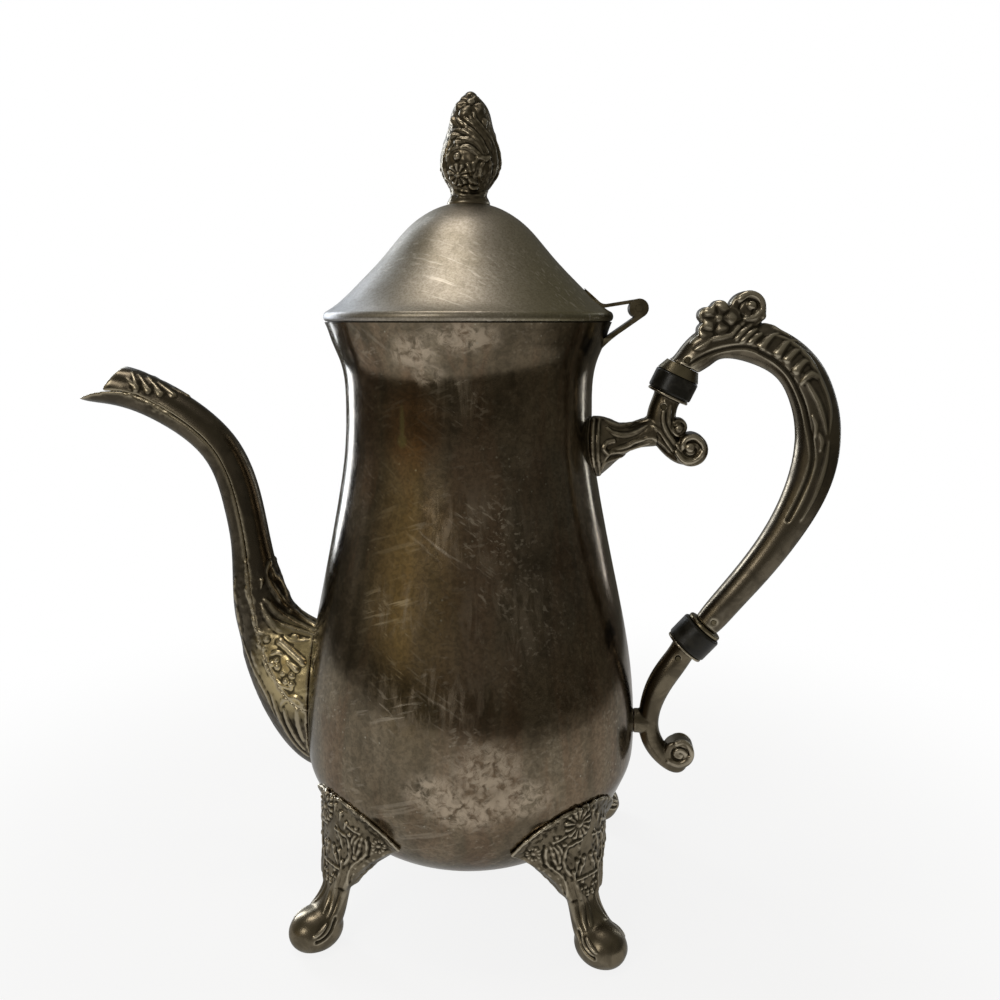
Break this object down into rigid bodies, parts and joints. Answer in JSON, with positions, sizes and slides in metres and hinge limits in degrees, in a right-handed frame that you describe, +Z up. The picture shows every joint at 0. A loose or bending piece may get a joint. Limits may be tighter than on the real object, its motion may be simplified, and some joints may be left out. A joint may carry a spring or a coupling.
{
  "type": "footed teapot",
  "caption": "Tall pear-shaped metal teapot on four cast feet, with an S-shaped spout, a hinged domed lid with a leafy finial and a scrolled handle on insulators.",
  "frame": {"origin": "centre of the box the pot stands in, on the table its feet rest on", "axes": "+Z up, +X towards the handle, so the spout points to -X, and +Y away from the front"},
  "size_m": [0.2652, 0.1186, 0.2799],
  "materials": {
    "plated_body": "tarnished silver plate, polished underneath",
    "plated_lid": "tarnished silver plate, satin",
    "cast_ornament": "cast silver plate, dark in the recesses",
    "cast_spout": "cast silver plate, smooth with worked ends",
    "cast_handle": "cast silver plate, worn bright where it is held",
    "turned_metal": "turned metal, tarnished",
    "insulator": "black moulded plastic, slightly worn"
  },
  "bodies": {
    "pot": {"body_shell": "plated_body", "mouth_ring": "plated_body", "hinge_body_leaf": "turned_metal", "hinge_pin": "turned_metal", "spout_upper_half": "cast_spout", "spout_lower_half": "cast_spout", "upper_bracket": "cast_ornament", "upper_insulator": "insulator", "upper_ferrule": "turned_metal", "handle_grip": "cast_handle", "lower_bead": "turned_metal", "lower_insulator": "insulator", "lower_bracket": "cast_ornament", "insulator_pins": "turned_metal", "foot_front_left": "cast_ornament", "foot_front_right": "cast_ornament", "foot_back_left": "cast_ornament", "foot_back_right": "cast_ornament"},
    "lid": {"lid_dome": "plated_lid", "lid_collar": "plated_lid", "finial": "cast_ornament", "finial_washer": "turned_metal", "finial_nut": "turned_metal", "hinge_lid_leaf": "turned_metal"}
  },
  "joints": [
    {"name": "lid_hinge", "type": "hinge", "parent": "pot", "child": "lid", "pos_m": [0.06369, 0, 0.2105], "axis": [0, 1, 0], "range_deg": [0, 105]}
  ]
}
